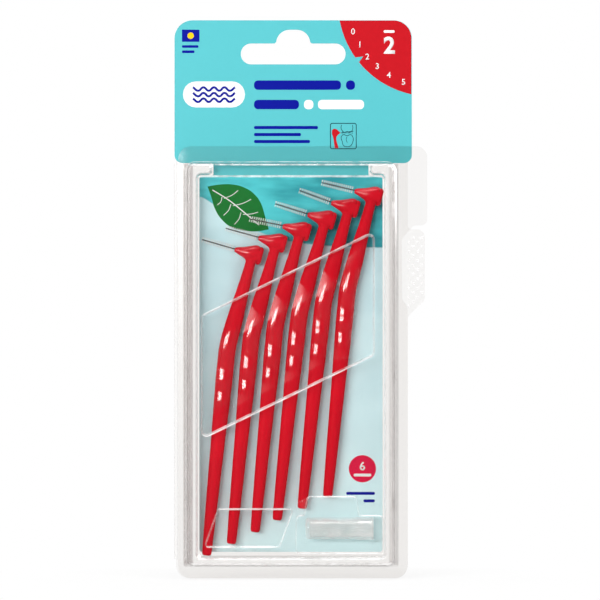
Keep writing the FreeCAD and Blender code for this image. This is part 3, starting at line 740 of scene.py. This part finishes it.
class BRUSHPACK_OT_header_marks(bpy.types.Operator):
    """Prints the header's plain plate, bars, tag and pictogram"""

    bl_idname = "brushpack.header_marks"
    bl_label = "Header marks"

    bars = ((254, 341, 85.2, 9.4), (346, 355, 85.2, 9.4), (254, 299, 104.6, 9.4),
            (254, 318, 127.6, 3.2), (254, 301, 134.6, 3.2), (254, 310, 141.6, 3.2),
            (182, 198.5, 46.6, 2.6), (182, 194.5, 51.8, 2.6))
    picture_frame = ((331.6, 123.4), (355.0, 123.4), (356.2, 124.6), (356.2, 147.6),
                     (355.0, 148.8), (331.6, 148.8), (330.4, 147.6), (330.4, 124.6))
    upper_tooth = ((341.6, 125), (341.0, 128), (342.4, 131), (344.6, 132.4), (347, 131.6),
                   (349.4, 132.4), (351.8, 131), (352.8, 128), (352.4, 125))
    lower_tooth = ((342.2, 141.5), (341.2, 137.6), (343.2, 134.8), (347, 135.8), (350.8, 134.8),
                   (353, 137.6), (352.4, 143), (350.6, 145.8), (347, 146.8), (343.6, 145.6))
    tooth_groove = ((347, 136.6), (346.2, 139.6), (347.4, 143))
    picture_wire = ((340.5, 133.0), (353.6, 131.2))
    picture_brush = ((332.0, 130.4, 1), (334.4, 128.8), (340.6, 132.9, 1), (337.4, 135.6),
                     (336.4, 137.4), (338.6, 148.2, 1), (334.8, 148.2, 1), (333.0, 137.2),
                     (332.0, 134.0))

    def execute(self, context):
        inks = context.scene.brushpack_print
        blue = ink("blue_ink", inks.blue)
        white = ink("header_white_ink", (0.9, 0.9, 0.9))

        plate = Print()
        plate.bar(183, 245, 94.5, 26, rounding=12.9)
        plate.finish("header_plate", 1, white)
        waves = Print()
        for row in (-5.4, 0.2, 5.8):
            crests = [(193 + i * 5.25, 94.5 + row + (1.7 if i % 2 else -1.7)) for i in range(9)]
            waves.stroke(crests, 2.2)
        waves.finish("header_plate_waves", 2, blue)

        lines = Print()
        for bar in self.bars:
            lines.bar(*bar)
        lines.bar(182, 199.5, 35.8, 12.2, rounding=0.6)
        lines.finish("header_blue_marks", 1, blue)
        pale = Print()
        pale.bar(304, 313.4, 104.6, 9.4)
        pale.bar(318, 364, 104.6, 9.4)
        pale.finish("header_white_marks", 1, white)
        dot = Print()
        dot.disc(190.7, 35.8, 3.2)
        dot.finish("header_tag_dot", 2, ink("yellow_ink", inks.yellow))

        picture = Print()
        picture.stroke(self.picture_frame, 0.85, closed=True, handles="VECTOR")
        picture.stroke(self.upper_tooth, 0.6)
        picture.stroke(self.lower_tooth, 0.6, closed=True)
        picture.stroke(self.tooth_groove, 0.45)
        picture.stroke(self.picture_wire, 0.6)
        for i in range(8):
            px = 342.2 + i * 1.4
            picture.stroke([(px, 131.5), (px + 0.7, 134.0)], 0.32)
        picture.finish("header_pictogram_lines", 1, ink("line_ink", inks.line))
        brush = Print()
        brush.shape(self.picture_brush)
        brush.finish("header_pictogram_brush", 2, ink("pictogram_red_ink", inks.red))
        return {"FINISHED"}


class BRUSHPACK_OT_window_marks(bpy.types.Operator):
    """Prints the leaf, the round badge and the note by the cap"""

    bl_idname = "brushpack.window_marks"
    bl_label = "Window marks"

    leaf = ((207.5, 186.5, 1), (219, 184.6), (232, 184.4), (244, 187.4), (254, 193.8),
            (261, 203.4), (264.6, 214.6), (268.8, 229.4, 1), (257, 231.4), (244, 230.8),
            (231.5, 227.4), (221.6, 219.4), (214.8, 208.6), (211.4, 197.4))
    midrib = ((212.5, 190.0), (228, 199.6), (243, 211.4), (259, 225.0))
    side_veins = (((224, 198.4), (238, 190.6)), ((233, 205.8), (251, 199.4)),
                  ((243, 214.4), (258, 212.2)), ((222, 197), (217.4, 205)),
                  ((231, 204.2), (223.6, 215.4)), ((241, 212.6), (234.4, 224.4)))

    def execute(self, context):
        inks = context.scene.brushpack_print
        white = ink("window_white_ink", (0.86, 0.88, 0.86))
        leaf = Print()
        leaf.shape(self.leaf)
        leaf.finish("leaf", 1, ink("green_ink", inks.green))
        veins = Print()
        veins.stroke(self.midrib, 1.1)
        for near, far in self.side_veins:
            bow = ((near[0] + far[0]) / 2 + 1.2, (near[1] + far[1]) / 2 + 0.6)
            veins.stroke([near, bow, far], 0.7)
        veins.finish("leaf_veins", 2, white)
        badge = Print()
        badge.disc(362.4, 468.7, 13.6, segments=72)
        badge.finish("count_badge", 1, ink("badge_ink", inks.badge))
        count = Print()
        count.figure("6", 362.4, 466, 8.6, weight=0.02)
        count.bar(353.6, 371.2, 475, 2.8)
        count.finish("count_badge_marks", 2, white)
        note = Print()
        note.bar(346.2, 374.8, 493.3, 3.0)
        note.bar(363.4, 374.8, 500.8, 3.0)
        note.finish("cap_note", 1, ink("note_ink", inks.blue))
        return {"FINISHED"}


class BRUSHPACK_OT_case(bpy.types.Operator):
    """Gives both shells of the case their clear sheet, with painted glints on its bends and painted
    shade in its side strips
    """

    bl_idname = "brushpack.case"
    bl_label = "Clear case"

    def execute(self, context):
        sheet = context.scene.brushpack_sheet
        materials = [clear_plastic(name, sheet, sheet.haze, sheet.edge_haze, white)
                     for name, white in (("clear_sheet", 0.0),
                                         ("clear_sheet_cross_bend", sheet.bend_white),
                                         ("clear_sheet_side_bend", sheet.side_white))]
        for node, body in (("back_shell", "case_back"), ("front_shell", "case_front")):
            formed_copy(node, "clear_" + node, materials, body, sharp=45)
        return {"FINISHED"}


class BRUSHPACK_OT_cap(bpy.types.Operator):
    """Gives the protective cap its clear plastic, with painted glints broken across its wall"""

    bl_idname = "brushpack.cap"
    bl_label = "Protective cap"

    def execute(self, context):
        sheet = context.scene.brushpack_sheet
        dress("protective_cap", clear_plastic("clear_cap", sheet, sheet.cap_white, sheet.cap_haze,
                                              sheet.cap_bend, sheet.cap_shine))
        return {"FINISHED"}


class BRUSHPACK_OT_handles(bpy.types.Operator):
    """Builds the six moulded handles and the covers on their heads"""

    bl_idname = "brushpack.handles"
    bl_label = "Handles and covers"

    def execute(self, context):
        red = moulded_red(context.scene.brushpack_brush)
        for number in BRUSHES:
            body = f"brush_{number}"
            formed_copy(f"{body}_handle", f"{body}_moulded_handle", [red], body)
            formed_copy(f"{body}_head_cover", f"{body}_moulded_cover", [red], body)
        return {"FINISHED"}


class BRUSHPACK_OT_wires(bpy.types.Operator):
    """Twists the six wires of two strands each"""

    bl_idname = "brushpack.wires"
    bl_label = "Twisted wires"

    def execute(self, context):
        brush = context.scene.brushpack_brush
        material = coated_wire(brush)
        strand = brush.wire_radius / 2
        whole = brush.wire_free + brush.wire_hold
        steps = round(whole / brush.twist * STEPS_PER_TURN)
        for number in BRUSHES:
            tip, way = bristle_axis(number, brush.row_start)
            bm = bmesh.new()
            for side in (-1, 1):
                place = Matrix.Translation((side * strand, 0, -brush.wire_hold))
                profile = bmesh.ops.create_circle(bm, cap_ends=False, segments=STRAND_SIDES,
                                                  radius=strand, matrix=place)["verts"]
                bmesh.ops.spin(bm, geom=profile + edges_at(profile), cent=(0, 0, 0),
                               axis=(0, 0, 1), dvec=(0, 0, whole / steps),
                               angle=2 * math.pi * whole / brush.twist, steps=steps,
                               use_merge=False)
            ends = [edge for edge in bm.edges if edge.is_boundary]
            bmesh.ops.holes_fill(bm, edges=ends, sides=STRAND_SIDES)
            bmesh.ops.recalc_face_normals(bm, faces=bm.faces)
            bmesh.ops.transform(bm, matrix=along_wire(tip, way), verts=bm.verts)
            wire = object_from(f"brush_{number}_twisted_wire", bm, material, f"brush_{number}",
                               smooth=True)
            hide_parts(f"brush_{number}_wire")
        return {"FINISHED"}


class BRUSHPACK_OT_filaments(bpy.types.Operator):
    """Sets the filaments that the wires hold, turning with the twist"""

    bl_idname = "brushpack.filaments"
    bl_label = "Filaments"

    def execute(self, context):
        brush = context.scene.brushpack_brush
        material = nylon(brush)
        run = brush.wire_free - brush.row_start - brush.tuft_spread
        tufts = round(run / brush.twist * TUFTS_PER_TURN)
        for number in BRUSHES:
            chance = random.Random(number)
            tip, way = bristle_axis(number, brush.row_start)
            stand = along_wire(tip, way)
            bm = bmesh.new()
            for tuft in range(tufts + 1):
                part = tuft / tufts
                full = brush.root_reach + (brush.tip_reach - brush.root_reach) * part ** 3
                for _ in range(THIN_TUFT if tuft % 2 else FULL_TUFT):
                    reach = full * chance.uniform(SHORTEST, 1.0)
                    along = brush.row_start + run * part + brush.tuft_spread * chance.uniform(0, 1)
                    turn = 2 * math.pi / TUFTS_PER_TURN * tuft + chance.gauss(0, TURN_SPREAD)
                    lean = chance.gauss(0, LEAN_SPREAD)
                    place = (stand @ Matrix.Translation((0, 0, along))
                             @ Matrix.Rotation(turn, 4, "Z")
                             @ Matrix.Rotation(math.pi / 2 + lean, 4, "X"))
                    bmesh.ops.create_cone(bm, cap_ends=True, segments=4, depth=2 * reach,
                                          radius1=brush.filament_radius,
                                          radius2=brush.filament_radius, matrix=place)
            row = object_from(f"brush_{number}_filaments", bm, material, f"brush_{number}")
            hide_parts(f"brush_{number}_bristles")
        return {"FINISHED"}


class BRUSHPACK_OT_stage(bpy.types.Operator):
    """Sets the floor, the lamps, the world and the camera"""

    bl_idname = "brushpack.stage"
    bl_label = "Studio"

    def execute(self, context):
        scene = context.scene
        stage = scene.brushpack_stage
        middle = spot(PICTURE_WIDTH / 2, PICTURE_WIDTH / 2)
        self.floor(scene, stage)
        self.world(scene, stage)
        self.lamps(scene, stage, middle)
        self.camera(scene, stage, middle)
        scene.view_settings.view_transform = "Standard"
        scene.cycles.transparent_max_bounces = CLEAR_LAYERS
        return {"FINISHED"}

    def floor(self, scene, stage):
        """Round pale floor: white to the camera, but for the shadow by the object's foot."""
        paint = Paint("studio_floor")
        vector, x, y, _ = paint.place()
        shade = paint.noise(vector, 0.3)
        pale = paint.blend(shade, shaded(stage.floor, 0.985), rgba(stage.floor))
        matt = paint.node("BsdfDiffuse", None, {"Color": pale, "Roughness": 0.5})
        beside = paint.math("MAXIMUM", paint.math("ABSOLUTE", x) - FOOT_HALF_WIDTH, 0.0)
        away = ((beside * beside + y * y) ** 0.5 / SHADOW_REACH).clamped()
        clear_white = away * (1 - stage.floor_glow) + stage.floor_glow
        behind = (paint.step(y - 10.0, width=40.0) * (1 - stage.floor_shine)
                  + stage.floor_shine)
        rays = paint.node("LightPath", output="Is Camera Ray")
        glossy = rays.out("Is Glossy Ray")
        white = paint.node("Emission", None, {"Color": (1, 1, 1, 1)})
        unlit = paint.node("Emission", None, {"Color": (0, 0, 0, 1)})
        shown = paint.mix(glossy * (1 - behind), white, unlit)
        seen = ((rays + rays.out("Is Transmission Ray")) * clear_white + glossy).clamped()
        bm = bmesh.new()
        bmesh.ops.create_circle(bm, cap_ends=True, segments=96, radius=FLOOR_RADIUS,
                                matrix=Matrix.Translation((0, 0, cad_low.z - FLOOR_DROP)))
        mesh = bpy.data.meshes.new("studio_floor")
        bm.to_mesh(mesh)
        bm.free()
        mesh.materials.append(paint.surface(paint.mix(seen, matt, shown)))
        piece = bpy.data.objects.new("studio_floor", mesh)
        scene.collection.objects.link(piece)

    def world(self, scene, stage):
        """White behind the object for camera and shiny faces, and a plain ambient light."""
        paint = Paint("studio_world", "worlds", "World")
        way = paint.node("SeparateXYZ", inputs={0: paint.node("TexCoord", output="Generated")})
        behind = paint.step(way.out("Y") - 0.1, width=0.4)
        rays = paint.node("LightPath", output="Is Camera Ray")
        glossy = rays.out("Is Glossy Ray")
        seen = (rays + rays.out("Is Transmission Ray")).clamped()
        level = seen + glossy * behind + (1 - (seen + glossy).clamped()) * stage.ambient
        scene.world = paint.surface(paint.node("Background", None, {
            "Color": (1, 1, 1, 1), "Strength": level}))

    def lamps(self, scene, stage, middle):
        """Lamps turned to the object's middle.

        The broad fill stays out of reflections, where it would veil the polished grips.
        """
        for name, setting, size, place in LAMPS:
            lamp = bpy.data.lights.new(name, "AREA")
            lamp.shape = "RECTANGLE"
            lamp.size, lamp.size_y = size
            lamp.energy = getattr(stage, setting)
            holder = bpy.data.objects.new(name, lamp)
            holder.location = place
            holder.rotation_mode = "QUATERNION"
            holder.rotation_quaternion = (Vector(place) - middle).to_track_quat("Z", "Y")
            holder.visible_camera = False
            holder.visible_glossy = setting != "fill"
            scene.collection.objects.link(holder)

    def camera(self, scene, stage, middle):
        """Camera square to the card, with the photograph's width on it."""
        lens = bpy.data.cameras.new("camera")
        lens.sensor_width = SENSOR
        lens.lens = SENSOR * stage.distance / (PICTURE_WIDTH * PIXEL)
        lens.clip_start, lens.clip_end = 0.05, 20
        camera = bpy.data.objects.new("camera", lens)
        camera.location = middle + Vector((0, -stage.distance, 0))
        camera.rotation_euler = (math.radians(90), 0, 0)
        scene.collection.objects.link(camera)
        scene.camera = camera


class BRUSHPACK_PT_pieces(bpy.types.Panel):
    """Lists the settings, and the steps that dress the pack"""

    bl_label = "Brush pack"
    bl_space_type = "VIEW_3D"
    bl_region_type = "UI"
    bl_category = "Brush pack"

    def draw(self, context):
        for name, group in GROUPS.items():
            box = self.layout.box()
            box.label(text=group.__doc__)
            for setting in group.__annotations__:
                box.prop(getattr(context.scene, name), setting)
        for operator in OPERATORS:
            self.layout.operator(operator.bl_idname)


GROUPS = {
    "brushpack_print": BRUSHPACK_PG_print,
    "brushpack_sheet": BRUSHPACK_PG_sheet,
    "brushpack_brush": BRUSHPACK_PG_brush,
    "brushpack_stage": BRUSHPACK_PG_stage,
}
OPERATORS = (
    BRUSHPACK_OT_card,
    BRUSHPACK_OT_size_scale,
    BRUSHPACK_OT_header_marks,
    BRUSHPACK_OT_window_marks,
    BRUSHPACK_OT_case,
    BRUSHPACK_OT_cap,
    BRUSHPACK_OT_handles,
    BRUSHPACK_OT_wires,
    BRUSHPACK_OT_filaments,
    BRUSHPACK_OT_stage,
)


def register():
    for kind in (*GROUPS.values(), *OPERATORS, BRUSHPACK_PT_pieces):
        bpy.utils.register_class(kind)
    for name, group in GROUPS.items():
        setattr(bpy.types.Scene, name, PointerProperty(type=group))


def unregister():
    for name in GROUPS:
        delattr(bpy.types.Scene, name)
    for kind in (BRUSHPACK_PT_pieces, *reversed(OPERATORS), *reversed(list(GROUPS.values()))):
        bpy.utils.unregister_class(kind)


def main():
    register()
    for operator in OPERATORS:
        family, step = operator.bl_idname.split(".")
        getattr(getattr(bpy.ops, family), step)()
    bpy.context.view_layer.update()


if __name__ == "__main__":
    main()
